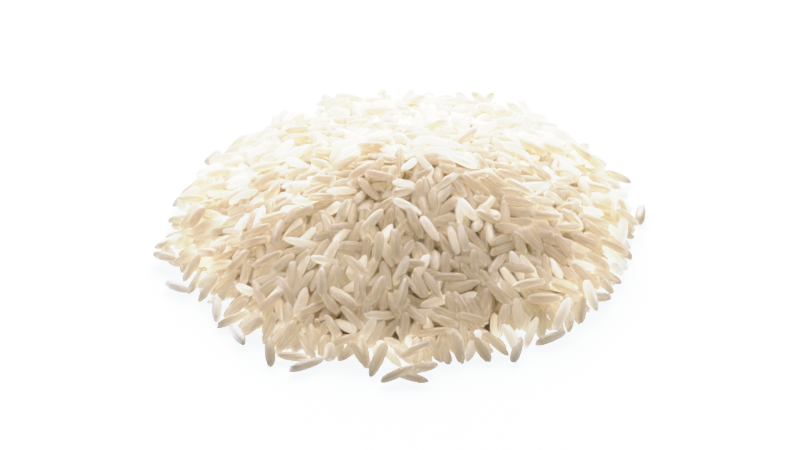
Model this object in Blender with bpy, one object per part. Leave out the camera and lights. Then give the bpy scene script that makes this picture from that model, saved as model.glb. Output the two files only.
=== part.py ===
"""A poured heap of uncooked long-grain white rice, as one closed solid.

The heap lies on the plane Z = 0 with its middle on the Z axis. X runs to the right as it is
looked at, Y away and Z up. A bumpy core carries the grains that show most, fused on at true
size. All lengths are in metres and all angles in radians, unless a name says otherwise.
"""

import math

import bmesh
import bpy
import numpy as np
from mathutils import Matrix, Vector

# The heap: a low cone with a rounded top, thin at its edge
HEAP_RADIUS = 0.0485
PEAK_HEIGHT = 0.0185
PEAK_TO_THE_RIGHT = 0.0035
PEAK_ROUNDING = 0.22
RIM_THICKNESS = 0.0018
# Slow waves in the outline: how many lobes, how deep, and the direction of the first
OUTLINE_LOBES = (
    (2, 0.0009, math.radians(61)),
    (3, 0.0006, math.radians(-44)),
    (4, 0.0004, math.radians(-32)),
)

# One grain: a long drop, a little flattened
GRAIN_LENGTH = 0.0070
GRAIN_WIDTH = 0.0021
GRAIN_THICKNESS = 0.0018
LENGTH_SPREAD = 0.00045
LENGTH_LIMITS = (0.0058, 0.0078)
SECTION_SPREAD = 0.05
BROKEN_SHARE = 0.05
BROKEN_LENGTHS = (0.0034, 0.0052)
# The half section is (1 - along ** TAPER) ** BLUNTNESS of the middle's
TAPER = 3.0
BLUNTNESS = 0.6
SAMPLED_LENGTH = 0.98
SAMPLED_WIDTH = 0.9

# The map of heights that the grains are poured on
POUR_SEED = 20
POURED_DEPTH = 0.0038
FLOOR_CLEARANCE = 0.00015
MAP_STEP = 0.00025
MAP_HALF = 0.058
MAP_CELLS = int(2 * MAP_HALF / MAP_STEP)

# Where grains go: the rim first, then all over, then loose ones on top
RIM_TRIES = 420
RIM_BAND = (0.86, 0.975)
WHOLE_HEAP = (0.0, 1.0)
SPOTS_COMPARED = 3
REFUSALS_WHEN_FULL = 300
LOOSE_ON_TOP = 150

# Which way they point: down the slope, but turned across it at the back
RIM_SPREAD = math.radians(26)
SLOPE_SPREAD = math.radians(27)
BACK_ACROSS = 0.35
ANY_WAY_SHARE_SIDE = 0.14
ANY_WAY_SHARE_FRONT = 0.38

# How they come to rest: small shifts and turns are tried, and dips of one end into the slope
WAYS_TRIED = 16
SHIFT = 0.0010
TURN = math.radians(18)
DIPS = np.radians(np.arange(-24, 25, 4.0))
DIP_COST = 0.0045
PROUD_ALLOWED = 0.0005
PROUD_ON_TOP = 0.0021
JUTTING_SHARE = 0.055
JUTTING_REGION = 0.62
JUTTING_DIPS = (math.radians(20), math.radians(42))
JUTTING_PROUD = 0.0013

# The core and the grains fused to it
FUSED_GRAINS = 272
FUSED_SPACING = 0.0028
FUSED_AT_RIM = 95
RIM_STARTS = 0.9
RIM_SPACING = 0.0024
FUSED_SIDES = 5
FUSED_RINGS = 3
FUSED_BITE = 0.0006
LEAST_BITE = 0.00025
CORE_BELOW_TOP = 0.0011
CORE_REACH = 0.94
CORE_EDGE_DROP = 0.0005
CORE_EDGE_POWER = 8
CORE_SPOKES = 36
CORE_RINGS = 9
BUMP_SEED = 7
BUMP_HEIGHT = 0.00045

RICE_COLOUR = (0.74, 0.66, 0.52, 1.0)
RICE_ROUGHNESS = 0.45


def outline_radius(angle):
    """Distance from the axis to the heap's edge in the direction of angle."""
    radius = HEAP_RADIUS
    for lobes, depth, first in OUTLINE_LOBES:
        radius = radius + depth * np.cos(lobes * (angle - first))
    return radius


def heap_share(x, y):
    """0 at the peak and 1 at the edge, along the line from the peak through the point."""
    reach = outline_radius(np.arctan2(y, x))
    inward = np.clip(1 - np.hypot(x, y) / reach, 0, None)
    return np.hypot(x - PEAK_TO_THE_RIGHT * inward, y) / reach


def heap_height(x, y):
    """Height of the smooth surface that the grains fill up to. It is negative past the edge."""
    share = heap_share(x, y)
    fall = np.sqrt(share**2 + PEAK_ROUNDING**2) - PEAK_ROUNDING
    whole_fall = math.sqrt(1 + PEAK_ROUNDING**2) - PEAK_ROUNDING
    height = PEAK_HEIGHT - (PEAK_HEIGHT - RIM_THICKNESS) * fall / whole_fall
    return np.where(share <= 1, height, (1 - share) * HEAP_RADIUS)


def slope_along(x, y, yaw):
    """Tilt of the smooth surface in the direction of yaw, over half a grain."""
    step = GRAIN_LENGTH / 4
    ahead = heap_height(x + step * np.cos(yaw), y + step * np.sin(yaw))
    behind = heap_height(x - step * np.cos(yaw), y - step * np.sin(yaw))
    return np.arctan2(np.maximum(ahead, 0) - np.maximum(behind, 0), 2 * step)


def grain_face(stations, across):
    """Points over one long face of a grain, as shares of its half length, width and thickness."""
    along, side = np.meshgrid(
        np.linspace(-SAMPLED_LENGTH, SAMPLED_LENGTH, stations),
        np.linspace(-SAMPLED_WIDTH, SAMPLED_WIDTH, across),
        indexing="ij",
    )
    section = (1 - np.abs(along) ** TAPER) ** BLUNTNESS
    return along.ravel(), (side * section).ravel(), (np.sqrt(1 - side**2) * section).ravel()


LOWER_FACE = grain_face(11, 3)
UPPER_FACE = grain_face(41, 13)


def lay_face(face, up, size, x, y, yaw, tilt):
    """A face's points in the heap: x, y, and the height over the grain's middle."""
    along, side, out = face
    along = along * size[0] / 2
    side = side * size[1] / 2
    out = out * size[2] / 2 * up
    level = along * np.cos(tilt) - out * np.sin(tilt)
    rise = along * np.sin(tilt) + out * np.cos(tilt)
    return (
        x + level * np.cos(yaw) - side * np.sin(yaw),
        y + level * np.sin(yaw) + side * np.cos(yaw),
        rise,
    )


def map_cell(x, y):
    column = np.clip(((x + MAP_HALF) / MAP_STEP).astype(int), 0, MAP_CELLS - 1)
    row = np.clip(((y + MAP_HALF) / MAP_STEP).astype(int), 0, MAP_CELLS - 1)
    return row * MAP_CELLS + column


def draw_size(rng):
    """Length, width and thickness of the next grain. A few are broken."""
    length = np.clip(rng.normal(GRAIN_LENGTH, LENGTH_SPREAD), *LENGTH_LIMITS)
    stoutness = rng.normal(1, SECTION_SPREAD)
    if rng.random() < BROKEN_SHARE:
        length = rng.uniform(*BROKEN_LENGTHS)
    return length, GRAIN_WIDTH * stoutness, GRAIN_THICKNESS * stoutness


def draw_spot(rng, band, target, ground):
    """The spot that lacks most height, of a few drawn between two shares of the outline."""
    angle = rng.uniform(-math.pi, math.pi, SPOTS_COMPARED)
    inner, outer = band
    reach = outline_radius(angle) * np.sqrt(rng.uniform(inner**2, outer**2, len(angle)))
    x, y = reach * np.cos(angle), reach * np.sin(angle)
    cells = map_cell(x, y)
    best = int(np.argmax(target[cells] - ground[cells]))
    return x[best], y[best], angle[best]


def draw_yaw(rng, angle, at_rim):
    """The way a grain points at this angle round the heap."""
    if at_rim:
        return angle + rng.normal(0, RIM_SPREAD)
    front = max(0.0, -math.sin(angle)) ** 2
    any_way = ANY_WAY_SHARE_SIDE + (ANY_WAY_SHARE_FRONT - ANY_WAY_SHARE_SIDE) * front
    if rng.random() < any_way:
        return rng.uniform(-math.pi, math.pi)
    away = math.sin(angle) * (BACK_ACROSS if angle > 0 else 1)
    return math.atan2(away, math.cos(angle)) + rng.normal(0, SLOPE_SPREAD)


def come_to_rest(rng, size, spot, yaw, jutting, ground):
    """The lowest of a few ways to lie on what is there, and how far it stands proud."""
    dips = np.array([rng.uniform(*JUTTING_DIPS)]) if jutting else DIPS
    ways = (WAYS_TRIED, 1, 1)
    x = spot[0] + rng.uniform(-SHIFT, SHIFT, ways)
    y = spot[1] + rng.uniform(-SHIFT, SHIFT, ways)
    turned = yaw + rng.uniform(-TURN, TURN, ways)
    tilt = slope_along(x, y, turned) + dips.reshape(1, -1, 1)
    face_x, face_y, rise = lay_face(LOWER_FACE, -1, size, x, y, turned, tilt)
    middle = (ground[map_cell(face_x, face_y)] - rise).max(axis=2)
    surface = heap_height(x, y)[:, :, 0]
    effort = 0 if jutting else DIP_COST * (1 - np.cos(dips))
    way, dip = np.unravel_index(int(np.argmin(middle - surface + effort)), middle.shape)
    proud = middle[way, dip] + size[2] / 2 - surface[way, 0]
    place = (x[way, 0, 0], y[way, 0, 0], middle[way, dip])
    return (place, turned[way, 0, 0], tilt[way, dip, 0], size), proud


def raise_ground(grain, number, ground, on_top):
    """Marks a grain's upper face on the map of heights and on the map of what shows."""
    middle, yaw, tilt, size = grain
    x, y, rise = lay_face(UPPER_FACE, 1, size, *middle[:2], yaw, tilt)
    order = np.argsort(rise)
    cells = map_cell(x, y)[order]
    top = middle[2] + rise[order]
    higher = top > ground[cells]
    ground[cells[higher]] = top[higher]
    on_top[cells[higher]] = number


def pour_grains():
    """Lays grains one by one, each at rest on those below it, until the heap is full.

    Gives the grains as (middle, yaw, tilt, size), and how many map cells each shows on.
    """
    rng = np.random.default_rng(POUR_SEED)
    centres = (np.arange(MAP_CELLS) + 0.5) * MAP_STEP - MAP_HALF
    target = heap_height(*np.meshgrid(centres, centres)).ravel()
    ground = np.clip(target - POURED_DEPTH, FLOOR_CLEARANCE, None)
    on_top = np.full(MAP_CELLS**2, -1)
    grains = []
    tries = refusals = loose = 0
    while loose < LOOSE_ON_TOP:
        at_rim = tries < RIM_TRIES
        full = refusals == REFUSALS_WHEN_FULL
        tries += 1
        x, y, angle = draw_spot(rng, RIM_BAND if at_rim else WHOLE_HEAP, target, ground)
        size = draw_size(rng)
        yaw = draw_yaw(rng, angle, at_rim)
        jutting = heap_share(x, y) < JUTTING_REGION and rng.random() < JUTTING_SHARE
        grain, proud = come_to_rest(rng, size, (x, y), yaw, jutting, ground)
        allowed = JUTTING_PROUD if jutting else PROUD_ALLOWED
        if proud > (PROUD_ON_TOP if full else allowed):
            refusals += 0 if at_rim or full else 1
            continue
        refusals = refusals if full else 0
        loose += 1 if full else 0
        raise_ground(grain, len(grains), ground, on_top)
        grains.append(grain)
    return grains, np.bincount(on_top[on_top >= 0], minlength=len(grains))


def core_drop(share):
    """How far the core's top is under the smooth surface. It is more at the edge."""
    towards_edge = np.clip(share / CORE_REACH, 0, 1)
    return CORE_BELOW_TOP + CORE_EDGE_DROP * towards_edge**CORE_EDGE_POWER


def gap_to_core(grain):
    """The least gap from a grain's lower face down to the core, and that face's lowest point."""
    middle, yaw, tilt, size = grain
    x, y, rise = lay_face(LOWER_FACE, -1, size, *middle[:2], yaw, tilt)
    share = np.hypot(x, y) / outline_radius(np.arctan2(y, x))
    core_top = np.where(share < CORE_REACH, heap_height(x, y) - core_drop(share), 0)
    return float((middle[2] + rise - core_top).min()), float(middle[2] + rise.min())


def sink_to_core(grain):
    """How far a grain goes down so that its lower face bites into the core."""
    gap, lowest = gap_to_core(grain)
    return min(max(0.0, gap + FUSED_BITE), max(0.0, lowest - FLOOR_CLEARANCE))


def choose_fused(grains, shown):
    """The grains to fuse on: those that show most come first, close at the rim, else spread."""
    middles = np.array([grain[0] for grain in grains])
    at_rim = heap_share(middles[:, 0], middles[:, 1]) > RIM_STARTS
    chosen = []
    for index in np.lexsort((-shown, ~at_rim)):
        spacing = RIM_SPACING if at_rim[index] else FUSED_SPACING
        distance = np.linalg.norm(middles[chosen] - middles[index], axis=1)
        crowded = bool(chosen) and distance.min() < spacing
        bite = sink_to_core(grains[index]) - gap_to_core(grains[index])[0]
        rim_is_full = at_rim[index] and len(chosen) == FUSED_AT_RIM
        if crowded or rim_is_full or bite < LEAST_BITE:
            continue
        chosen.append(int(index))
        if len(chosen) == FUSED_GRAINS:
            break
    return [grains[index] for index in chosen]


def new_object(name, builder, collection):
    mesh = bpy.data.meshes.new(name)
    builder.to_mesh(mesh)
    builder.free()
    built = bpy.data.objects.new(name, mesh)
    collection.objects.link(built)
    return built


def core_point(spoke, ring, bumps):
    """A point on the core's top, on one of its rings counted out from the middle."""
    angle = 2 * math.pi * spoke / CORE_SPOKES
    share = CORE_REACH * ring / CORE_RINGS
    reach = outline_radius(angle) * share
    x, y = reach * math.cos(angle), reach * math.sin(angle)
    height = float(heap_height(x, y) - core_drop(share))
    return Vector((x, y, height + BUMP_HEIGHT * bumps[ring, spoke]))


def spoke_of(vertex):
    turn = math.atan2(vertex.co.y, vertex.co.x) / (2 * math.pi)
    return round(turn * CORE_SPOKES) % CORE_SPOKES


def build_core(collection):
    """The body of the heap: a disc whose edge is raised ring by ring to the heap's top."""
    bumps = np.random.default_rng(BUMP_SEED).uniform(-1, 1, (CORE_RINGS + 1, CORE_SPOKES))
    builder = bmesh.new()
    bmesh.ops.create_circle(builder, cap_ends=True, radius=HEAP_RADIUS, segments=CORE_SPOKES)
    for vertex in builder.verts:
        vertex.co = core_point(spoke_of(vertex), CORE_RINGS, bumps)
        vertex.co.z = 0.0
    edges = builder.edges[:]
    for ring in range(CORE_RINGS, 0, -1):
        raised = bmesh.ops.extrude_edge_only(builder, edges=edges)["geom"]
        edges = [item for item in raised if isinstance(item, bmesh.types.BMEdge)]
        for vertex in raised:
            if isinstance(vertex, bmesh.types.BMVert):
                vertex.co = core_point(spoke_of(vertex), ring, bumps)
    cap = bmesh.ops.contextual_create(builder, geom=edges)["faces"]
    peak = bmesh.ops.poke(builder, faces=cap)["verts"][0]
    peak.co.z = float(heap_height(peak.co.x, peak.co.y)) - CORE_BELOW_TOP
    bmesh.ops.recalc_face_normals(builder, faces=builder.faces)
    return new_object("rice_heap", builder, collection)


def build_grain(number, grain, collection):
    """A grain with few sides, laid in its place and sunk to the core."""
    middle, yaw, tilt, size = grain
    builder = bmesh.new()
    bmesh.ops.create_uvsphere(
        builder, u_segments=FUSED_SIDES, v_segments=FUSED_RINGS, radius=1.0
    )
    widest = max(math.hypot(vertex.co.x, vertex.co.y) for vertex in builder.verts)
    half_sizes = (size[2] / 2 / widest, size[1] / 2 / widest, size[0] / 2, 1)
    place = Vector(middle) - Vector((0, 0, sink_to_core(grain)))
    steps = (
        Matrix.Translation(place),
        Matrix.Rotation(yaw, 4, "Z"),
        Matrix.Rotation(math.pi / 2 - tilt, 4, "Y"),
        Matrix.Diagonal(half_sizes),
        Matrix.Rotation(math.pi / FUSED_SIDES, 4, "Z"),
    )
    whole = Matrix.Identity(4)
    for step in steps:
        whole = whole @ step
    builder.transform(whole)
    return new_object(f"grain_{number}", builder, collection)


def fuse(core, pieces):
    """Joins the pieces to the core in one closed body, and removes them."""
    union = core.modifiers.new("fused_grains", "BOOLEAN")
    union.operation = "UNION"
    union.operand_type = "COLLECTION"
    union.collection = pieces
    union.solver = "EXACT"
    bpy.context.view_layer.objects.active = core
    bpy.ops.object.modifier_apply(modifier=union.name)
    for piece in list(pieces.objects):
        bpy.data.objects.remove(piece, do_unlink=True)
    bpy.data.collections.remove(pieces)


def shells_of(builder):
    """The separate shells of a mesh, as lists of faces."""
    left = set(builder.faces)
    while left:
        shell, reached = [], [left.pop()]
        while reached:
            face = reached.pop()
            shell.append(face)
            for edge in face.edges:
                beside = left.intersection(edge.link_faces)
                left -= beside
                reached.extend(beside)
        yield shell


def keep_largest_shell(solid):
    """Drops loose scraps and fills sealed hollows, which are the smaller shells."""
    builder = bmesh.new()
    builder.from_mesh(solid.data)
    for shell in sorted(shells_of(builder), key=len)[:-1]:
        bmesh.ops.delete(builder, geom=shell, context="FACES")
    builder.to_mesh(solid.data)
    builder.free()


def rice_material():
    material = bpy.data.materials.new("milled_rice")
    material.use_nodes = True
    shader = material.node_tree.nodes["Principled BSDF"]
    shader.inputs["Base Color"].default_value = RICE_COLOUR
    shader.inputs["Roughness"].default_value = RICE_ROUGHNESS
    shader.inputs["Metallic"].default_value = 0.0
    return material


def build_heap():
    for old in list(bpy.data.objects):
        bpy.data.objects.remove(old, do_unlink=True)
    heap = bpy.data.collections.new("heap_of_rice")
    pieces = bpy.data.collections.new("grains_to_fuse")
    bpy.context.scene.collection.children.link(heap)
    bpy.context.scene.collection.children.link(pieces)
    core = build_core(heap)
    for number, grain in enumerate(choose_fused(*pour_grains())):
        build_grain(number, grain, pieces)
    fuse(core, pieces)
    keep_largest_shell(core)
    core.data.materials.append(rice_material())


build_heap()
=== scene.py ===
"""A poured heap of uncooked long-grain white rice, grain by grain, on a plain white ground.

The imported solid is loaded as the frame. Loose grains over a core of their own replace it.
Lengths are in metres and angles in radians.
"""

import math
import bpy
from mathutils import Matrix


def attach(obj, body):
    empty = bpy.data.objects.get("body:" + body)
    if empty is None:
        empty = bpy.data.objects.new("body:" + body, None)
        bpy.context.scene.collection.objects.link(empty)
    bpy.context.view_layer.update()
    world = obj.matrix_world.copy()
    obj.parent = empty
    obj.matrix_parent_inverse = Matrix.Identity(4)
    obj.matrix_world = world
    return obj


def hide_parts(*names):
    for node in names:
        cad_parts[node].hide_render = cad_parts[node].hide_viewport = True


bl_info = {
    "name": "Heap of White Rice",
    "version": (1, 0, 0),
    "blender": (4, 5, 0),
    "location": "3D View > Sidebar > Rice",
    "description": "Pours a heap of long-grain white rice and lights it on a white ground",
    "category": "Object",
}

from typing import NamedTuple

import bmesh
import bpy
import numpy as np
from bpy.props import FloatProperty, FloatVectorProperty, IntProperty, PointerProperty
from mathutils import Vector

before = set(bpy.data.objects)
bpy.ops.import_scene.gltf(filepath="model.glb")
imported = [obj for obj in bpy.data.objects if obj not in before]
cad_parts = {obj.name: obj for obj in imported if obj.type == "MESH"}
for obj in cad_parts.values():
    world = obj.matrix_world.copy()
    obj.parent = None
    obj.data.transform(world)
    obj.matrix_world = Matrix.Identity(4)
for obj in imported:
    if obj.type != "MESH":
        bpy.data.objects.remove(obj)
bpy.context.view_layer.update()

BODY = "root"
NODE = "rice_heap"

# Slow waves in the outline: how many lobes, how deep, and the direction of the first
OUTLINE_LOBES = (
    (2, 0.0009, math.radians(61)),
    (3, 0.0006, math.radians(-44)),
    (4, 0.0004, math.radians(-32)),
)
PEAK_ROUNDING = 0.22
RIM_THICKNESS = 0.0018

# Grain sizes
LENGTH_SPREAD = 0.00045
LENGTH_LIMITS = (0.0058, 0.0078)
SECTION_SPREAD = 0.05
BROKEN_SHARE = 0.05
BROKEN_LENGTHS = (0.0034, 0.0052)
# The half section is (1 - along ** TAPER) ** BLUNTNESS of the middle's
TAPER = 3.0
BLUNTNESS = 0.6
SAMPLED_LENGTH = 0.98
SAMPLED_WIDTH = 0.9

# The map of heights that the grains are poured on
FLOOR_CLEARANCE = 0.00015
MAP_STEP = 0.00025
MAP_HALF = 0.058
MAP_CELLS = int(2 * MAP_HALF / MAP_STEP)

# Where grains go: the rim first, then all over, then loose ones on top
RIM_TRIES = 420
RIM_BAND = (0.86, 0.975)
WHOLE_HEAP = (0.0, 1.0)
SPOTS_COMPARED = 3
REFUSALS_WHEN_FULL = 300

# Which way they point: down the slope, but turned across it at the back
RIM_SPREAD = math.radians(26)
SLOPE_SPREAD = math.radians(27)
BACK_ACROSS = 0.35
ANY_WAY_SHARE_SIDE = 0.14
ANY_WAY_SHARE_FRONT = 0.38

# How they come to rest: small shifts and turns are tried, and dips of one end into the slope
WAYS_TRIED = 16
SHIFT = 0.0010
TURN = math.radians(18)
DIPS = np.radians(np.arange(-24, 25, 4.0))
DIP_COST = 0.0045
PROUD_ALLOWED = 0.0005
PROUD_ON_TOP = 0.0021
JUTTING_SHARE = 0.055
JUTTING_REGION = 0.62
JUTTING_DIPS = (math.radians(20), math.radians(42))
JUTTING_PROUD = 0.0013

# Grains laid after the poured ones: strays over the rim and just outside it, and fillers
LATER_SEED = 5
STRAYS_ON_RIM = 36
RIM_STRAY_BAND = (0.88, 1.02)
STRAYS_OUTSIDE = 20
OUTER_STRAY_BAND = (1.03, 1.11)
STRAY_SUNK = 3
FILLER_TRIES = 3000
FILLER_PROUD = 0.0005
FILLER_SPOTS = 12
FILLER_SPREAD = math.radians(35)
FILLER_SUNK = 12

# The bed of grains under the poured ones, and the depths at which it starts and is whole
BED_TRIES = 3000
BED_PROUD = 0.0002
BED_DEPTH = 0.0020
BED_STARTS = 0.0012
BED_FULL = 0.0030

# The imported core: rings from the floor to the top
CORE_SPOKES = 48
CORE_RINGS = 12
CORE_REACH = 0.88
CORE_FLOOR = 0.00005

# Where the rings of a grain's form lie and how wide they are, from its tip to its germ end.
# Forms lie along X, within a box from -1 to 1.
FORM_PROFILE = (
    (0.965, 0.27),
    (0.85, 0.53),
    (0.58, 0.85),
    (0.05, 1.0),
    (-0.48, 0.96),
    (-0.82, 0.68),
    (-0.965, 0.38),
)
FORM_RINGS = len(FORM_PROFILE) + 1
FORM_SIDES = 8
ON_A_RING = 0.01
POLE = 0.99
GERM_END = -0.9
GERM_SIDE = -0.2
RIDGE_DEPTH = 0.09
PLUMPNESS = 1.08

# A broken end: the rim that is left round it, how far it bulges, and its place on the UV map
CAP_RIM = 0.25
CAP_BULGE = 0.05
CAP_STARTS = 0.8
CAP_FACES = 0.9
CAP_MIDDLE = (0.2, 0.84)
CAP_SPAN = 0.12

# Which form each grain gets, how it is rolled, and the margin round it on the UV map
SORTING_SEED = 31
ROLL_SPREAD = math.radians(14)
MAP_MARGIN = 0.04

# How starch takes light: a thin waxy skin, and red light that goes deepest
SKIN = {"IOR": 1.5, "Specular IOR Level": 0.5, "Coat Weight": 0.4, "Coat Roughness": 0.35}
RADIUS_BY_COLOUR = (1.0, 0.85, 0.65)

# The tones, drawn from 0 to 1, over which a grain turns to straw, to cream and to chalk
STRAW_TONES = (0.15, 0.40)
CREAM_TONES = (0.45, 0.75)
CHALKY_TONES = (0.79, 0.82)
CHALKINESS = 0.85

# Chalk in a clear grain: spots and fine lines by their noise. The ends are made paler by their
# place, which is a painted highlight
NOISE_APART = 90.0
NOISE_DETAIL = 2.0
SPOT_STRETCH = (1.1, 1.3)
SPOT_NOISE = (0.58, 0.78)
SPOT_CHALK = 0.7
LINE_STRETCH = (0.7, 4.5)
LINE_NOISE = (0.45, 0.72)
LINE_CHALK = 0.38
LINE_STRENGTH = 0.5
LINE_RELIEF = 0.00015
END_SPAN = (0.7, 1.0)
END_HIGHLIGHT = 0.35

# The core's finish: cells as wide as a grain, with painted shade in the gaps between them
CORE_DEPTH = 0.001
CORE_CELLS = 380.0
CORE_GAPS = (0.3, 0.9)
GAP_STRENGTH = 0.6
GAP_RELIEF = 0.0006

# The ground: white paper that also glows, which keeps it white up to the heap's rim
GROUND_SIZE = 12.0
PAPER_ROUGHNESS = 0.9
PAPER_CLOUDS = 3.0
PAPER_TONES = ((0.93, 0.93, 0.93, 1.0), (0.95, 0.95, 0.95, 1.0))
WHITE = (1.0, 1.0, 1.0, 1.0)
GROUND_GLOW = 0.95

# The sky: how high the middle of its bright side is, how that spreads, and the horizon's blur
SKY_MIDDLE = 0.35
SKY_SPREAD = 0.95
HORIZON = 0.02

# The lamps. Each side lamp has a name, an azimuth and a share of the side power.
LAMP_DISTANCE = 1.3
BEHIND = math.radians(90)
KEY_SIZE = 1.4
SIDE_SIZE = 0.8
SIDE_ELEVATION = math.radians(14)
SIDE_LAMPS = (("right_side", 0.0, 1.0), ("left_side", math.pi, 1.15))

# The picture's width, and how far its middle is shifted, in pixels
PICTURE_WIDTH = 800
PICTURE_SHIFT = (-4.5, -1.5)
NEAREST_SEEN = 0.01

# How bright light is shown, as pairs of light and shown light
TONE_CURVE = (
    (0, 0),
    (0.27, 0.30),
    (0.54, 0.575),
    (0.80, 0.81),
    (1.00, 0.885),
    (1.20, 0.92),
    (1.45, 0.95),
    (1.75, 1.0),
)
# What a camera makes of the shown green and blue: shadows warmer and light tones whiter
GREEN_CURVE = (
    (0.20, 0.175),
    (0.43, 0.40),
    (0.61, 0.64),
    (0.75, 0.795),
    (0.85, 0.89),
    (0.92, 0.935),
)
BLUE_CURVE = (
    (0.15, 0.12),
    (0.29, 0.26),
    (0.42, 0.45),
    (0.58, 0.66),
    (0.72, 0.815),
    (0.82, 0.89),
    (0.92, 0.945),
)
BOUNCES = 6


class HeapSizes(NamedTuple):
    """What the heap's shape and its grains depend on."""

    radius: float
    height: float
    to_the_right: float
    poured_depth: float
    loose_on_top: int
    seed: int
    length: float
    width: float
    thickness: float


class RiceHeapSettings(bpy.types.PropertyGroup):
    radius: FloatProperty(
        name="Radius",
        description="Mean distance from the middle of the heap to its edge",
        default=0.0485,
        min=0.02,
        max=0.055,
        unit="LENGTH",
        precision=4,
    )
    height: FloatProperty(
        name="Height",
        description="Height of the smooth surface that the grains fill up to, at its peak",
        default=0.0185,
        min=0.006,
        max=0.03,
        unit="LENGTH",
        precision=4,
    )
    to_the_right: FloatProperty(
        name="Peak to the right",
        description="How far the peak lies to the right of the middle",
        default=0.0035,
        unit="LENGTH",
        precision=4,
    )
    poured_depth: FloatProperty(
        name="Poured depth",
        description="Thickness of the loose grains over the core",
        default=0.0038,
        min=0.002,
        max=0.008,
        unit="LENGTH",
        precision=4,
    )
    loose_on_top: IntProperty(
        name="Loose on top",
        description="Number of grains that lie across the others",
        default=150,
        min=0,
        max=400,
    )
    seed: IntProperty(
        name="Seed",
        description="Another number pours another heap of the same size",
        default=20,
        min=0,
    )


class RiceGrainSettings(bpy.types.PropertyGroup):
    length: FloatProperty(
        name="Length",
        description="Mean length of a whole grain",
        default=0.0070,
        min=0.004,
        max=0.009,
        unit="LENGTH",
        precision=4,
    )
    width: FloatProperty(
        name="Width",
        description="Mean width of a grain",
        default=0.0021,
        min=0.0015,
        max=0.003,
        unit="LENGTH",
        precision=4,
    )
    thickness: FloatProperty(
        name="Thickness",
        description="Mean thickness of a grain, across its flatter sides",
        default=0.0018,
        min=0.0012,
        max=0.0026,
        unit="LENGTH",
        precision=4,
    )


def colour_property(name, description, red, green, blue):
    """A colour for the sidebar."""
    return FloatVectorProperty(
        name=name,
        description=description,
        default=(red, green, blue, 1.0),
        size=4,
        min=0.0,
        max=1.0,
        subtype="COLOR",
    )


class RiceFinishSettings(bpy.types.PropertyGroup):
    blush: colour_property("Blush", "Colour of the pinker clear grains", 0.60, 0.525, 0.42)
    straw: colour_property("Straw", "Colour of the yellower clear grains", 0.61, 0.54, 0.42)
    cream: colour_property("Cream", "Colour of the paler clear grains", 0.67, 0.61, 0.51)
    # The chalk colour also paints the highlight at the ends of the grains
    chalk_and_end_highlight: colour_property("Chalk", "Colour of chalky grains and spots", 0.92, 0.89, 0.80)
    # Shade: painted shade deep in the heap's gaps, on the core
    shade: colour_property("Shade", "Colour deep in the heap's gaps", 0.84, 0.72, 0.54)
    depth: FloatProperty(
        name="Depth",
        description="How far light spreads under the surface",
        default=0.012,
        min=0,
        max=0.02,
        unit="LENGTH",
        precision=4,
    )
    roughness: FloatProperty(
        name="Roughness",
        description="How dull the polished grains are",
        default=0.42,
        min=0.1,
        max=0.9,
        subtype="FACTOR",
    )


class RiceStudioSettings(bpy.types.PropertyGroup):
    elevation: FloatProperty(
        name="Elevation",
        description="Angle of the camera over the ground",
        default=math.radians(35),
        subtype="ANGLE",
    )
    distance: FloatProperty(
        name="Distance",
        description="From the camera to the middle of the heap's base",
        default=0.410,
        unit="LENGTH",
        precision=3,
    )
    lens: FloatProperty(
        name="Lens",
        description="Focal length in millimetres",
        default=86.0,
        min=20,
        max=200,
    )
    sky: FloatProperty(
        name="Sky",
        description="Strength of the light from all round",
        default=0.46,
        min=0,
        max=9,
    )
    front_light: colour_property("Front light", "Light from the viewer's side", 0.11, 0.09, 0.07)
    ground_light: colour_property("Ground light", "Light from the ground", 0.88, 0.98, 1.0)
    back_light: colour_property("Back light", "Light from behind and above", 1.0, 0.94, 0.84)
    key_power: FloatProperty(
        name="Key power",
        description="Power of the large soft light over and behind the heap, in watts",
        default=27.0,
        min=0,
    )
    side_power: FloatProperty(
        name="Side power",
        description="Power of the soft light at either side, in watts",
        default=6.0,
        min=0,
    )
    side_light: colour_property("Side light", "Colour of the light at the sides", 0.78, 0.93, 1.0)
    key_elevation: FloatProperty(
        name="Key elevation",
        description="Angle of that light over the ground behind the heap",
        default=math.radians(29),
        subtype="ANGLE",
    )


def sizes_now():
    """The sizes in the sidebar, without the noise of their short floats."""
    heap = bpy.context.scene.rice_heap
    grain = bpy.context.scene.rice_grain
    return HeapSizes(
        radius=round(heap.radius, 7),
        height=round(heap.height, 7),
        to_the_right=round(heap.to_the_right, 7),
        poured_depth=round(heap.poured_depth, 7),
        loose_on_top=heap.loose_on_top,
        seed=heap.seed,
        length=round(grain.length, 7),
        width=round(grain.width, 7),
        thickness=round(grain.thickness, 7),
    )


def outline_radius(sizes, angle):
    """Distance from the axis to the heap's edge in the direction of angle."""
    radius = sizes.radius
    for lobes, depth, first in OUTLINE_LOBES:
        radius = radius + depth * np.cos(lobes * (angle - first))
    return radius


def heap_share(sizes, x, y):
    """0 at the peak and 1 at the edge, along the line from the peak through the point."""
    reach = outline_radius(sizes, np.arctan2(y, x))
    inward = np.clip(1 - np.hypot(x, y) / reach, 0, None)
    return np.hypot(x - sizes.to_the_right * inward, y) / reach


def height_at_share(sizes, share):
    """Height of the smooth surface that the grains fill up to, for shares up to 1."""
    fall = np.sqrt(share**2 + PEAK_ROUNDING**2) - PEAK_ROUNDING
    whole_fall = math.sqrt(1 + PEAK_ROUNDING**2) - PEAK_ROUNDING
    return sizes.height - (sizes.height - RIM_THICKNESS) * fall / whole_fall


def heap_height(sizes, x, y):
    """Height of that surface at a point. It is negative past the edge."""
    share = heap_share(sizes, x, y)
    return np.where(share <= 1, height_at_share(sizes, share), (1 - share) * sizes.radius)


def slope_along(sizes, x, y, yaw):
    """Tilt of the smooth surface in the direction of yaw, over half a grain."""
    step = sizes.length / 4
    ahead = heap_height(sizes, x + step * np.cos(yaw), y + step * np.sin(yaw))
    behind = heap_height(sizes, x - step * np.cos(yaw), y - step * np.sin(yaw))
    return np.arctan2(np.maximum(ahead, 0) - np.maximum(behind, 0), 2 * step)


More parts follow.
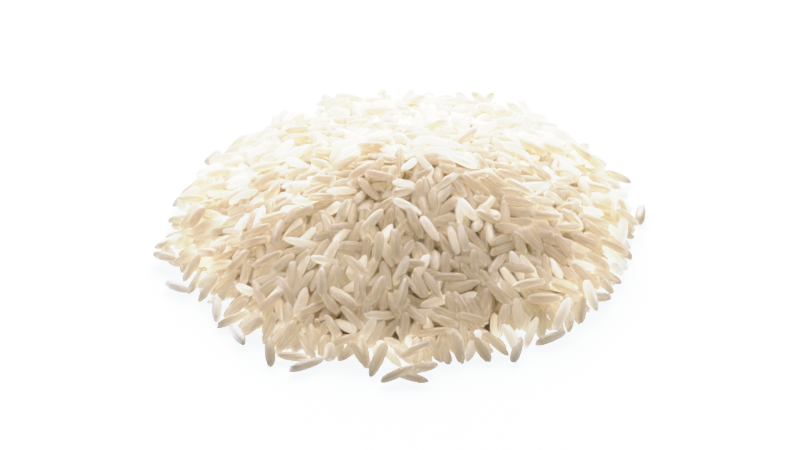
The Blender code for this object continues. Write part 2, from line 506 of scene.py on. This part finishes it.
def grain_section(along):
    """Half section of a grain as a share of its middle's, for along from -1 to 1."""
    return (1 - np.abs(along) ** TAPER) ** BLUNTNESS


def grain_face(stations, across):
    """Points over one long face of a grain, as shares of its half length, width and thickness."""
    along, side = np.meshgrid(
        np.linspace(-SAMPLED_LENGTH, SAMPLED_LENGTH, stations),
        np.linspace(-SAMPLED_WIDTH, SAMPLED_WIDTH, across),
        indexing="ij",
    )
    section = grain_section(along)
    return along.ravel(), (side * section).ravel(), (np.sqrt(1 - side**2) * section).ravel()


# A few points are enough to rest on what is there. The map of heights needs many.
LOWER_FACE = grain_face(11, 3)
UPPER_FACE = grain_face(41, 13)


def lay_face(face, up, size, x, y, yaw, tilt):
    """A face's points in the heap: x, y, and the height over the grain's middle."""
    along, side, out = face
    along = along * size[0] / 2
    side = side * size[1] / 2
    out = out * size[2] / 2 * up
    level = along * np.cos(tilt) - out * np.sin(tilt)
    rise = along * np.sin(tilt) + out * np.cos(tilt)
    return (
        x + level * np.cos(yaw) - side * np.sin(yaw),
        y + level * np.sin(yaw) + side * np.cos(yaw),
        rise,
    )


def map_cell(x, y):
    """The cell of the map of heights that a point lies over."""
    column = np.clip(((x + MAP_HALF) / MAP_STEP).astype(int), 0, MAP_CELLS - 1)
    row = np.clip(((y + MAP_HALF) / MAP_STEP).astype(int), 0, MAP_CELLS - 1)
    return row * MAP_CELLS + column


def draw_size(sizes, rng):
    """Length, width and thickness of the next grain. A few are broken."""
    length = np.clip(rng.normal(sizes.length, LENGTH_SPREAD), *LENGTH_LIMITS)
    stoutness = rng.normal(1, SECTION_SPREAD)
    if rng.random() < BROKEN_SHARE:
        length = rng.uniform(*BROKEN_LENGTHS)
    return length, sizes.width * stoutness, sizes.thickness * stoutness


def draw_spot(sizes, rng, band, target, ground, spots=SPOTS_COMPARED):
    """The spot that lacks most height, of a few drawn between two shares of the outline."""
    angle = rng.uniform(-math.pi, math.pi, spots)
    inner, outer = band
    share = np.sqrt(rng.uniform(inner**2, outer**2, len(angle)))
    reach = outline_radius(sizes, angle) * share
    x, y = reach * np.cos(angle), reach * np.sin(angle)
    cells = map_cell(x, y)
    best = int(np.argmax(target[cells] - ground[cells]))
    return x[best], y[best], angle[best]


def draw_yaw(rng, angle, at_rim):
    """The way a grain points at this angle round the heap."""
    if at_rim:
        return angle + rng.normal(0, RIM_SPREAD)
    front = max(0.0, -math.sin(angle)) ** 2
    any_way = ANY_WAY_SHARE_SIDE + (ANY_WAY_SHARE_FRONT - ANY_WAY_SHARE_SIDE) * front
    if rng.random() < any_way:
        return rng.uniform(-math.pi, math.pi)
    away = math.sin(angle) * (BACK_ACROSS if angle > 0 else 1)
    return math.atan2(away, math.cos(angle)) + rng.normal(0, SLOPE_SPREAD)


def come_to_rest(sizes, rng, size, spot, yaw, jutting, ground, sunk=0):
    """The lowest of a few ways to lie on what is there, and how far it stands proud.

    As many points of the lower face as sunk says may sink into what is there.
    """
    dips = np.array([rng.uniform(*JUTTING_DIPS)]) if jutting else DIPS
    ways = (WAYS_TRIED, 1, 1)
    x = spot[0] + rng.uniform(-SHIFT, SHIFT, ways)
    y = spot[1] + rng.uniform(-SHIFT, SHIFT, ways)
    turned = yaw + rng.uniform(-TURN, TURN, ways)
    tilt = slope_along(sizes, x, y, turned) + dips.reshape(1, -1, 1)
    face_x, face_y, rise = lay_face(LOWER_FACE, -1, size, x, y, turned, tilt)
    contact = rise.shape[2] - 1 - sunk
    rests = ground[map_cell(face_x, face_y)] - rise
    middle = np.partition(rests, contact, axis=2)[:, :, contact]
    surface = heap_height(sizes, x, y)[:, :, 0]
    effort = 0 if jutting else DIP_COST * (1 - np.cos(dips))
    way, dip = np.unravel_index(int(np.argmin(middle - surface + effort)), middle.shape)
    proud = middle[way, dip] + size[2] / 2 - surface[way, 0]
    place = (x[way, 0, 0], y[way, 0, 0], middle[way, dip])
    return (place, turned[way, 0, 0], tilt[way, dip, 0], size), proud


def raise_ground(grain, ground):
    """Marks a grain's upper face on the map of heights."""
    middle, yaw, tilt, size = grain
    x, y, rise = lay_face(UPPER_FACE, 1, size, *middle[:2], yaw, tilt)
    order = np.argsort(rise)
    cells = map_cell(x, y)[order]
    top = middle[2] + rise[order]
    higher = top > ground[cells]
    ground[cells[higher]] = top[higher]


def core_height(sizes, surface):
    """Height of the core's top where the smooth surface has this height."""
    under = surface - sizes.poured_depth
    bed = np.clip((under - BED_STARTS) / (BED_FULL - BED_STARTS), 0, 1)
    return under - BED_DEPTH * bed


def scatter_strays(sizes, rng, ground, target, band, wanted):
    """Lays a few grains any way round between two shares of the outline."""
    grains = []
    for _ in range(wanted):
        x, y, _ = draw_spot(sizes, rng, band, target, ground, 1)
        yaw = rng.uniform(-math.pi, math.pi)
        size = draw_size(sizes, rng)
        grain, _ = come_to_rest(sizes, rng, size, (x, y), yaw, False, ground, STRAY_SUNK)
        raise_ground(grain, ground)
        grains.append(grain)
    return grains


def fill_up(sizes, rng, ground, target, tries, allowed):
    """Lays grains wherever there is room for them under the target surface."""
    lowered = heap_height(sizes, 0, 0) - target.max()
    grains = []
    for _ in range(tries):
        x, y, angle = draw_spot(sizes, rng, WHOLE_HEAP, target, ground, FILLER_SPOTS)
        yaw = draw_yaw(rng, angle, False) + rng.normal(0, FILLER_SPREAD)
        size = draw_size(sizes, rng)
        grain, proud = come_to_rest(sizes, rng, size, (x, y), yaw, False, ground, FILLER_SUNK)
        if proud + lowered > allowed or grain[0][2] < size[2] / 2:
            continue
        raise_ground(grain, ground)
        grains.append(grain)
    return grains


def pour_on_top(sizes, ground, target):
    """Lays grains one by one, each at rest on those below it, until the heap is full."""
    rng = np.random.default_rng(sizes.seed)
    grains = []
    tries = refusals = loose = 0
    while loose < sizes.loose_on_top:
        at_rim = tries < RIM_TRIES
        full = refusals == REFUSALS_WHEN_FULL
        tries += 1
        band = RIM_BAND if at_rim else WHOLE_HEAP
        x, y, angle = draw_spot(sizes, rng, band, target, ground)
        size = draw_size(sizes, rng)
        yaw = draw_yaw(rng, angle, at_rim)
        jutting = heap_share(sizes, x, y) < JUTTING_REGION and rng.random() < JUTTING_SHARE
        grain, proud = come_to_rest(sizes, rng, size, (x, y), yaw, jutting, ground)
        allowed = JUTTING_PROUD if jutting else PROUD_ALLOWED
        if proud > (PROUD_ON_TOP if full else allowed):
            refusals += 0 if at_rim or full else 1
            continue
        refusals = refusals if full else 0
        loose += 1 if full else 0
        raise_ground(grain, ground)
        grains.append(grain)
    return grains


def pour_grains(sizes):
    """All the heap's grains as (middle, yaw, tilt, size), the bed's last."""
    centres = (np.arange(MAP_CELLS) + 0.5) * MAP_STEP - MAP_HALF
    target = heap_height(sizes, *np.meshgrid(centres, centres)).ravel()
    under = np.clip(target - sizes.poured_depth, FLOOR_CLEARANCE, None)
    ground = under.copy()
    poured = pour_on_top(sizes, ground, target)
    rng = np.random.default_rng(LATER_SEED)
    strays = scatter_strays(sizes, rng, ground, target, RIM_STRAY_BAND, STRAYS_ON_RIM)
    strays += scatter_strays(sizes, rng, ground, target, OUTER_STRAY_BAND, STRAYS_OUTSIDE)
    fillers = fill_up(sizes, rng, ground, target, FILLER_TRIES, FILLER_PROUD)
    floor = np.clip(core_height(sizes, target), FLOOR_CLEARANCE, None)
    bed = fill_up(sizes, rng, floor, under, BED_TRIES, BED_PROUD)
    return poured + strays + fillers + bed


def select_points(form, wanted):
    """Selects, in edit mode, the points whose places pass the test."""
    builder = bmesh.from_edit_mesh(form.data)
    for vertex in builder.verts:
        vertex.select_set(bool(wanted(vertex.co)))
    builder.select_flush_mode()
    bmesh.update_edit_mesh(form.data)


def move_points(form, wanted, by):
    """Moves the points that pass the test."""
    select_points(form, wanted)
    bpy.ops.transform.translate(value=by)


def scale_points(form, wanted, by, about):
    """Scales the points that pass the test, about a point."""
    select_points(form, wanted)
    bpy.ops.transform.resize(value=by, center_override=about)


def on_ring(at):
    """A test for the points of the ring that lies here along the grain."""
    return lambda place: abs(place.x - at) < ON_A_RING


def start_form():
    """A ball with its poles on X, drawn out ring by ring to a grain's profile, in edit mode."""
    bpy.ops.object.select_all(action="DESELECT")
    bpy.ops.mesh.primitive_uv_sphere_add(
        segments=FORM_SIDES, ring_count=FORM_RINGS, radius=1.0, rotation=(0, math.pi / 2, 0)
    )
    bpy.ops.object.transform_apply(location=False, rotation=True, scale=False)
    form = bpy.context.object
    bpy.ops.object.mode_set(mode="EDIT")
    for ring, (at, section) in enumerate(FORM_PROFILE, start=1):
        turn = math.pi * ring / FORM_RINGS
        wider = section / math.sin(turn)
        scale_points(form, on_ring(math.cos(turn)), (1, wider, wider), (0, 0, 0))
        bpy.ops.transform.translate(value=(at - math.cos(turn), 0, 0))
    return form


def press_ridges(form):
    """Presses in every second point round each ring, which leaves ridges along the grain."""

    def between_ridges(place):
        turn = math.atan2(place.z, place.y) / (2 * math.pi) * FORM_SIDES
        return abs(place.x) < POLE and round(turn) % 2 == 1

    inward = 1 - RIDGE_DEPTH
    scale_points(form, between_ridges, (1, inward, inward), (0, 0, 0))


def bend_form(form, down, sideways):
    """Lets both ends curve away from the middle."""
    for at, _ in ((1.0, 0.0), *FORM_PROFILE, (-1.0, 0.0)):
        move_points(form, on_ring(at), (0, -sideways * at**2, -down * at**2))


def finish_form():
    """Turns all faces outwards and shades them smooth, in edit mode."""
    bpy.ops.mesh.select_all(action="SELECT")
    bpy.ops.mesh.normals_make_consistent(inside=False)
    bpy.ops.mesh.faces_shade_smooth()


def stretch_form(form):
    """Makes a form reach from -1 to 1 along X again, and a little plumper."""
    ends = [vertex.co.x for vertex in bmesh.from_edit_mesh(form.data).verts]
    longer = 2 / (max(ends) - min(ends))
    bpy.ops.mesh.select_all(action="SELECT")
    bpy.ops.transform.resize(
        value=(longer, PLUMPNESS, PLUMPNESS), center_override=(min(ends), 0, 0)
    )
    bpy.ops.transform.translate(value=(-1 - min(ends), 0, 0))


def make_whole_form(down, sideways, beak, notch):
    """A whole grain: a small beak at the tip, and the slanted notch that the germ leaves."""
    form = start_form()
    press_ridges(form)
    bend_form(form, down, sideways)
    move_points(form, lambda place: place.x > POLE, (0, 0, beak))
    move_points(
        form, lambda place: place.x < GERM_END and place.z > GERM_SIDE, (notch, 0, -notch)
    )
    stretch_form(form)
    finish_form()
    bpy.ops.object.mode_set(mode="OBJECT")
    return form


def map_cap(form):
    """Puts the flat end of a broken grain on the part of the UV map that its cut left free."""
    builder = bmesh.from_edit_mesh(form.data)
    layer = builder.loops.layers.uv.active
    for face in builder.faces:
        at_cap = face.normal.x > CAP_FACES and face.calc_center_median().x > CAP_STARTS
        face.select_set(at_cap)
        if at_cap:
            for loop in face.loops:
                across = Vector(loop.vert.co.yz) * CAP_SPAN
                loop[layer].uv = Vector(CAP_MIDDLE) + across
    bmesh.update_edit_mesh(form.data)


def make_broken_form(cut_at, askew):
    """A grain snapped across, with a flat end a little askew."""
    form = start_form()
    press_ridges(form)
    bpy.ops.mesh.select_all(action="SELECT")
    bpy.ops.mesh.bisect(
        plane_co=(cut_at, 0, 0), plane_no=(1, *askew), use_fill=True, clear_outer=True
    )
    bpy.ops.mesh.inset(thickness=CAP_RIM)
    bpy.ops.transform.translate(value=(CAP_BULGE, 0, 0))
    stretch_form(form)
    finish_form()
    map_cap(form)
    bpy.ops.mesh.faces_shade_flat()
    bpy.ops.object.mode_set(mode="OBJECT")
    return form


class FormArrays(NamedTuple):
    """A mesh as arrays: points, corners, corners per face, shading and spots on the UV map."""

    points: np.ndarray
    corners: np.ndarray
    counts: np.ndarray
    smooth: np.ndarray
    spots: np.ndarray


def take_arrays(form):
    """A form's mesh as arrays to copy from. The form itself is removed."""
    mesh = form.data
    arrays = FormArrays(
        points=np.array([vertex.co for vertex in mesh.vertices]),
        corners=np.array([loop.vertex_index for loop in mesh.loops]),
        counts=np.array([polygon.loop_total for polygon in mesh.polygons]),
        smooth=np.array([polygon.use_smooth for polygon in mesh.polygons]),
        spots=np.array([spot.vector for spot in mesh.uv_layers.active.uv]),
    )
    bpy.data.objects.remove(form, do_unlink=True)
    bpy.data.meshes.remove(mesh)
    return arrays


def lay_points(points, grain, roll, end):
    """A form's points where a grain lies, rolled about its length, with either end first."""
    middle, yaw, tilt, size = grain
    along = points[:, 0] * end
    side = (points[:, 1] * math.cos(roll) - points[:, 2] * math.sin(roll)) * end
    out = points[:, 1] * math.sin(roll) + points[:, 2] * math.cos(roll)
    along, side, out = (axis * extent / 2 for axis, extent in zip((along, side, out), size))
    level = along * math.cos(tilt) - out * math.sin(tilt)
    rise = along * math.sin(tilt) + out * math.cos(tilt)
    x = level * math.cos(yaw) - side * math.sin(yaw)
    y = level * math.sin(yaw) + side * math.cos(yaw)
    return np.column_stack((x, y, rise)) + np.array(middle)


def copy_forms(whole, broken, grains):
    """For each grain, a copy of a whole or a broken form where it lies, and its tone.

    Each copy also has a cell of the UV map to itself, and its points' places in the form.
    """
    rng = np.random.default_rng(SORTING_SEED)
    columns = math.ceil(math.sqrt(len(grains)))
    copies = []
    first = 0
    for number, grain in enumerate(grains):
        forms = broken if grain[3][0] <= BROKEN_LENGTHS[1] else whole
        form = forms[rng.integers(len(forms))]
        roll = rng.choice((0, math.pi)) + rng.normal(0, ROLL_SPREAD)
        laid = lay_points(form.points, grain, roll, rng.choice((-1, 1)))
        laid[:, 2] += max(0, FLOOR_CLEARANCE - laid[:, 2].min())
        cell = np.array((number % columns, number // columns))
        spots = (cell + MAP_MARGIN + (1 - 2 * MAP_MARGIN) * form.spots) / columns
        tone = np.full(len(form.points), rng.random())
        copy = FormArrays(laid, form.corners + first, form.counts, form.smooth, spots)
        copies.append((*copy, form.points, tone))
        first += len(form.points)
    return [np.concatenate(arrays) for arrays in zip(*copies)]


def join_grains(name, whole, broken, grains, material):
    """One piece of all the grains. Light spreads from grain to grain only within a piece."""
    points, corners, counts, smooth, spots, inside, tones = copy_forms(whole, broken, grains)
    mesh = bpy.data.meshes.new(name)
    mesh.vertices.add(len(points))
    mesh.loops.add(len(corners))
    mesh.polygons.add(len(counts))
    mesh.vertices.foreach_set("co", points.ravel())
    mesh.loops.foreach_set("vertex_index", corners)
    mesh.polygons.foreach_set("loop_start", np.cumsum(counts) - counts)
    mesh.polygons.foreach_set("use_smooth", smooth)
    mesh.update(calc_edges=True)
    baked = mesh.uv_layers.new(name="OFBake")
    baked.uv.foreach_set("vector", spots.ravel())
    place = mesh.attributes.new("place_in_grain", "FLOAT_VECTOR", "POINT")
    place.data.foreach_set("vector", inside.ravel())
    tone = mesh.attributes.new("tone", "FLOAT", "POINT")
    tone.data.foreach_set("value", tones)
    mesh.materials.append(material)
    piece = bpy.data.objects.new(name, mesh)
    bpy.context.scene.collection.objects.link(piece)
    declare(piece)


def declare(piece):
    """Says what the piece moves with, and hides the imported part that it stands for."""
    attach(piece, BODY)
    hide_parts(NODE)


class Nodes:
    """A node tree, and short calls that lay out its nodes."""

    def __init__(self, tree):
        self.tree = tree

    def feed(self, socket, value):
        """Links a socket to an output, or sets it to a value."""
        if isinstance(value, bpy.types.NodeSocket):
            self.tree.links.new(value, socket)
        else:
            socket.default_value = value

    def add(self, kind, settings, inputs):
        """A new node with these settings, and its inputs fed."""
        node = self.tree.nodes.new(kind)
        for key, value in settings.items():
            setattr(node, key, value)
        for key, value in inputs.items():
            self.feed(node.inputs[key], value)
        return node

    def mix(self, share, low, high):
        """The colour low where share is 0, and high where it is 1."""
        node = self.add("ShaderNodeMix", {"data_type": "RGBA"}, {0: share, 6: low, 7: high})
        return node.outputs[2]

    def step(self, value, span, high=1.0):
        """A smooth step of value: 0 up to the span's start, and high from its end on."""
        inputs = {"Value": value, "From Min": span[0], "From Max": span[1], "To Max": high}
        node = self.add("ShaderNodeMapRange", {"interpolation_type": "SMOOTHSTEP"}, inputs)
        return node.outputs["Result"]


class Finish(Nodes):
    """A new material that isn't metal."""

    def __init__(self, name, roughness):
        self.material = bpy.data.materials.new(name)
        self.material.use_nodes = True
        super().__init__(self.material.node_tree)
        self.shader = self.tree.nodes["Principled BSDF"]
        self.shader.inputs["Metallic"].default_value = 0.0
        self.shader.inputs["Roughness"].default_value = roughness

    def paint(self, colour):
        self.feed(self.shader.inputs["Base Color"], colour)

    def object_place(self):
        return self.add("ShaderNodeTexCoord", {}, {}).outputs["Object"]

    def attribute(self, name, output):
        node = self.add("ShaderNodeAttribute", {"attribute_name": name}, {})
        return node.outputs[output]

    def bump(self, height, strength, distance, inverted=False):
        """Relief that rises with height, or falls where it is inverted."""
        inputs = {"Height": height, "Strength": strength, "Distance": distance}
        node = self.add("ShaderNodeBump", {"invert": inverted}, inputs)
        self.feed(self.shader.inputs["Normal"], node.outputs["Normal"])

    def flesh(self, depth):
        """Lets light into the grain, to this depth."""
        for name, value in SKIN.items():
            self.shader.inputs[name].default_value = value
        self.shader.subsurface_method = "BURLEY"
        self.shader.inputs["Subsurface Weight"].default_value = 1.0
        self.shader.inputs["Subsurface Scale"].default_value = depth
        self.shader.inputs["Subsurface Radius"].default_value = RADIUS_BY_COLOUR


def streaks(finish, stretch):
    """Noise drawn out along each grain, and different in every one."""
    along, across = stretch
    place = finish.attribute("place_in_grain", "Vector")
    tone = finish.attribute("tone", "Fac")
    drawn_out = finish.add(
        "ShaderNodeMapping", {}, {"Vector": place, "Scale": (along, across, across)}
    )
    apart = finish.add("ShaderNodeMath", {"operation": "MULTIPLY"}, {0: tone, 1: NOISE_APART})
    inputs = {
        "Vector": drawn_out.outputs["Vector"],
        "W": apart.outputs["Value"],
        "Scale": 1.0,
        "Detail": NOISE_DETAIL,
    }
    noise = finish.add("ShaderNodeTexNoise", {"noise_dimensions": "4D"}, inputs)
    return noise.outputs["Fac"]


def grain_finish(colours):
    """Polished grain: a tone of its own, chalky spots, fine lines and paler ends, which are a
    painted highlight.
    """
    finish = Finish("polished_rice", colours.roughness)
    finish.flesh(colours.depth)
    tone = finish.attribute("tone", "Fac")
    hue = finish.mix(finish.step(tone, STRAW_TONES), colours.blush, colours.straw)
    hue = finish.mix(finish.step(tone, CREAM_TONES), hue, colours.cream)
    hue = finish.mix(finish.step(tone, CHALKY_TONES, CHALKINESS), hue, colours.chalk_and_end_highlight)
    spots = finish.step(streaks(finish, SPOT_STRETCH), SPOT_NOISE, SPOT_CHALK)
    hue = finish.mix(spots, hue, colours.chalk_and_end_highlight)
    lines = streaks(finish, LINE_STRETCH)
    hue = finish.mix(finish.step(lines, LINE_NOISE, LINE_CHALK), hue, colours.chalk_and_end_highlight)
    # Painted highlight: the ends of each grain are made paler toward the chalk colour
    place = finish.attribute("place_in_grain", "Vector")
    apart = finish.add("ShaderNodeSeparateXYZ", {}, {"Vector": place})
    end = finish.add("ShaderNodeMath", {"operation": "ABSOLUTE"}, {0: apart.outputs["X"]})
    ends = finish.step(end.outputs["Value"], END_SPAN, END_HIGHLIGHT)
    finish.paint(finish.mix(ends, hue, colours.chalk_and_end_highlight))
    finish.bump(lines, LINE_STRENGTH, LINE_RELIEF)
    return finish.material


def core_finish(colours):
    """Packed grains in the shade of those above them, with painted shade in the gaps between
    cells.
    """
    finish = Finish("grains_in_the_shade", colours.roughness)
    finish.flesh(CORE_DEPTH)
    inputs = {"Vector": finish.object_place(), "Scale": CORE_CELLS}
    cells = finish.add("ShaderNodeTexVoronoi", {}, inputs)
    gaps = finish.step(cells.outputs["Distance"], CORE_GAPS)
    # Painted shade in the gaps between the cells
    finish.paint(finish.mix(gaps, colours.cream, colours.shade))
    finish.bump(gaps, GAP_STRENGTH, GAP_RELIEF, inverted=True)
    return finish.material


def ground_finish():
    """White paper with a barely uneven tone."""
    finish = Finish("white_ground", PAPER_ROUGHNESS)
    inputs = {"Vector": finish.object_place(), "Scale": PAPER_CLOUDS}
    cloud = finish.add("ShaderNodeTexNoise", {}, inputs)
    finish.paint(finish.mix(cloud.outputs["Fac"], *PAPER_TONES))
    finish.shader.inputs["Emission Color"].default_value = WHITE
    finish.shader.inputs["Emission Strength"].default_value = GROUND_GLOW
    return finish.material


class RICE_OT_core(bpy.types.Operator):
    """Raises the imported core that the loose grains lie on"""

    bl_idname = "rice.core"
    bl_label = "Packed core"
    bl_options = {"REGISTER", "UNDO"}

    def execute(self, context):
        sizes = sizes_now()
        bpy.ops.object.select_all(action="DESELECT")
        bpy.ops.mesh.primitive_circle_add(
            vertices=CORE_SPOKES,
            radius=sizes.radius * CORE_REACH,
            fill_type="NGON",
            location=(0, 0, CORE_FLOOR),
        )
        bpy.ops.object.transform_apply(location=True, rotation=False, scale=False)
        core = context.object
        core.name = core.data.name = "packed_core"
        bpy.ops.object.mode_set(mode="EDIT")
        self.raise_rings(core, sizes)
        self.follow_outline(core, sizes)
        finish_form()
        bpy.ops.object.mode_set(mode="OBJECT")
        core.data.materials.append(core_finish(context.scene.rice_finish))
        declare(core)
        return {"FINISHED"}

    def raise_rings(self, core, sizes):
        """Extrudes the disc's top ring by ring, each narrower, higher and further over."""
        bpy.ops.mesh.select_all(action="SELECT")
        last_share, last_height = CORE_REACH, CORE_FLOOR
        for ring in range(CORE_RINGS, 0, -1):
            share = CORE_REACH * ring / CORE_RINGS
            height = max(core_height(sizes, height_at_share(sizes, share)), 2 * CORE_FLOOR)
            over = sizes.to_the_right * (last_share - share)
            bpy.ops.mesh.extrude_region_move(
                TRANSFORM_OT_translate={"value": (over, 0, float(height - last_height))}
            )
            about = (sizes.to_the_right * (CORE_REACH - share), 0, 0)
            narrower = share / last_share
            bpy.ops.transform.resize(value=(narrower, narrower, 1), center_override=about)
            last_share, last_height = share, height
        bpy.ops.mesh.poke()

    def follow_outline(self, core, sizes):
        """Draws each spoke out or in to the heap's outline."""
        for spoke in range(CORE_SPOKES):
            angle = 2 * math.pi * spoke / CORE_SPOKES
            longer = float(outline_radius(sizes, angle)) / sizes.radius
            scale_points(core, self.on_spoke(spoke), (longer, longer, 1), (0, 0, 0))

    def on_spoke(self, spoke):
        """A test for the points over one spoke of the disc."""

        def test(place):
            turn = math.atan2(place.y, place.x) / (2 * math.pi) * CORE_SPOKES
            return round(turn) % CORE_SPOKES == spoke

        return test


class RICE_OT_grains(bpy.types.Operator):
    """Lays all the grains over the core, whole ones and a few that are broken"""

    bl_idname = "rice.grains"
    bl_label = "Grains"
    bl_options = {"REGISTER", "UNDO"}

    def execute(self, context):
        whole = [
            make_whole_form(down=0.08, sideways=0.0, beak=0.10, notch=0.07),
            make_whole_form(down=0.03, sideways=0.08, beak=-0.10, notch=0.04),
            make_whole_form(down=-0.05, sideways=-0.06, beak=0.05, notch=0.09),
            make_whole_form(down=0.0, sideways=0.05, beak=-0.08, notch=0.10),
        ]
        broken = [
            make_broken_form(cut_at=0.25, askew=(0.08, 0.14)),
            make_broken_form(cut_at=0.05, askew=(-0.16, 0.04)),
        ]
        finish = grain_finish(context.scene.rice_finish)
        whole = [take_arrays(form) for form in whole]
        broken = [take_arrays(form) for form in broken]
        join_grains("rice_grains", whole, broken, pour_grains(sizes_now()), finish)
        return {"FINISHED"}


class RICE_OT_studio(bpy.types.Operator):
    """Sets up the white ground, the lights and the camera"""

    bl_idname = "rice.studio"
    bl_label = "Studio"
    bl_options = {"REGISTER", "UNDO"}

    def execute(self, context):
        studio = context.scene.rice_studio
        self.lay_ground()
        self.light_sky(context.scene, studio)
        self.hang_lamp("key", BEHIND, studio.key_elevation, KEY_SIZE, studio.key_power, WHITE)
        for name, azimuth, share in SIDE_LAMPS:
            power = studio.side_power * share
            self.hang_lamp(name, azimuth, SIDE_ELEVATION, SIDE_SIZE, power, studio.side_light)
        self.set_camera(context.scene, studio)
        self.expose(context.scene)
        return {"FINISHED"}

    def expose(self, scene):
        """Lets the lightest tones run softly into white, as a camera does."""
        scene.view_settings.view_transform = "Standard"
        scene.view_settings.use_curve_mapping = True
        mapping = scene.view_settings.curve_mapping
        brightest = TONE_CURVE[-1][0]
        mapping.white_level = (brightest, brightest, brightest)
        combined = mapping.curves[3]
        for light, shown in TONE_CURVE[1:-1]:
            combined.points.new(light / brightest, shown)
        for curve, steps in ((mapping.curves[1], GREEN_CURVE), (mapping.curves[2], BLUE_CURVE)):
            for light, shown in steps:
                curve.points.new(light, shown)
        mapping.update()
        scene.cycles.max_bounces = BOUNCES
        scene.cycles.diffuse_bounces = BOUNCES

    def lay_ground(self):
        """Lays the ground. Its own light would yellow the heap's rim, so it lights no piece."""
        bpy.ops.object.select_all(action="DESELECT")
        bpy.ops.mesh.primitive_plane_add(size=GROUND_SIZE)
        ground = bpy.context.object
        ground.name = ground.data.name = "ground"
        ground.data.materials.append(ground_finish())
        ground.visible_diffuse = False

    def light_sky(self, scene, studio):
        """Light from all round: dim and warm in front, bright behind and above.

        Below the horizon it is the ground's white, and lights the pieces in its place.
        """
        world = bpy.data.worlds.new("white_room")
        world.use_nodes = True
        sky = Nodes(world.node_tree)
        toward = sky.add("ShaderNodeTexCoord", {}, {}).outputs["Generated"]
        brightest = (0.0, math.cos(SKY_MIDDLE), math.sin(SKY_MIDDLE))
        turned = sky.add(
            "ShaderNodeVectorMath", {"operation": "DOT_PRODUCT"}, {0: toward, 1: brightest}
        )
        share = sky.step(turned.outputs["Value"], (0.0, SKY_SPREAD))
        above = sky.mix(share, studio.front_light, studio.back_light)
        height = sky.add("ShaderNodeSeparateXYZ", {}, {0: toward}).outputs["Z"]
        inputs = {"Value": height, "From Min": HORIZON, "From Max": -HORIZON}
        below = sky.add("ShaderNodeMapRange", {}, inputs).outputs["Result"]
        background = sky.tree.nodes["Background"].inputs
        sky.feed(background["Color"], sky.mix(below, above, studio.ground_light))
        background["Strength"].default_value = studio.sky
        scene.world = world

    def hang_lamp(self, name, azimuth, elevation, size, power, colour):
        """A square of soft light that faces the heap from this direction."""
        lamp = bpy.data.lights.new(name, "AREA")
        lamp.shape = "SQUARE"
        lamp.size = size
        lamp.energy = power
        lamp.color = colour[:3]
        holder = bpy.data.objects.new(name, lamp)
        level = math.cos(elevation)
        toward = Vector(
            (level * math.cos(azimuth), level * math.sin(azimuth), math.sin(elevation))
        )
        holder.location = toward * LAMP_DISTANCE
        holder.rotation_euler = toward.to_track_quat("Z", "Y").to_euler()
        bpy.context.scene.collection.objects.link(holder)

    def set_camera(self, scene, studio):
        """Looks down at the middle of the heap's base from in front."""
        camera = bpy.data.cameras.new("camera")
        camera.lens = studio.lens
        camera.clip_start = NEAREST_SEEN
        camera.shift_x, camera.shift_y = (pixels / PICTURE_WIDTH for pixels in PICTURE_SHIFT)
        holder = bpy.data.objects.new("camera", camera)
        back = Vector((0, -math.cos(studio.elevation), math.sin(studio.elevation)))
        holder.location = back * studio.distance
        holder.rotation_euler = back.to_track_quat("Z", "Y").to_euler()
        scene.collection.objects.link(holder)
        scene.camera = holder


class RICE_PT_heap(bpy.types.Panel):
    """The heap's pieces and settings"""

    bl_idname = "RICE_PT_heap"
    bl_label = "Heap of rice"
    bl_space_type = "VIEW_3D"
    bl_region_type = "UI"
    bl_category = "Rice"

    def draw(self, context):
        layout = self.layout
        for owner in ("rice_heap", "rice_grain", "rice_finish", "rice_studio"):
            settings = getattr(context.scene, owner)
            box = layout.box()
            for name in settings.__annotations__:
                box.prop(settings, name)
        for operator in OPERATORS:
            layout.operator(operator.bl_idname)


SETTINGS = {
    "rice_heap": RiceHeapSettings,
    "rice_grain": RiceGrainSettings,
    "rice_finish": RiceFinishSettings,
    "rice_studio": RiceStudioSettings,
}
OPERATORS = (
    RICE_OT_core,
    RICE_OT_grains,
    RICE_OT_studio,
)
CLASSES = (*SETTINGS.values(), *OPERATORS, RICE_PT_heap)


def register():
    for each in CLASSES:
        bpy.utils.register_class(each)
    for name, group in SETTINGS.items():
        setattr(bpy.types.Scene, name, PointerProperty(type=group))


def unregister():
    for name in SETTINGS:
        delattr(bpy.types.Scene, name)
    for each in reversed(CLASSES):
        bpy.utils.unregister_class(each)


def main():
    register()
    bpy.ops.rice.core()
    bpy.ops.rice.grains()
    bpy.ops.rice.studio()


if __name__ == "__main__":
    main()
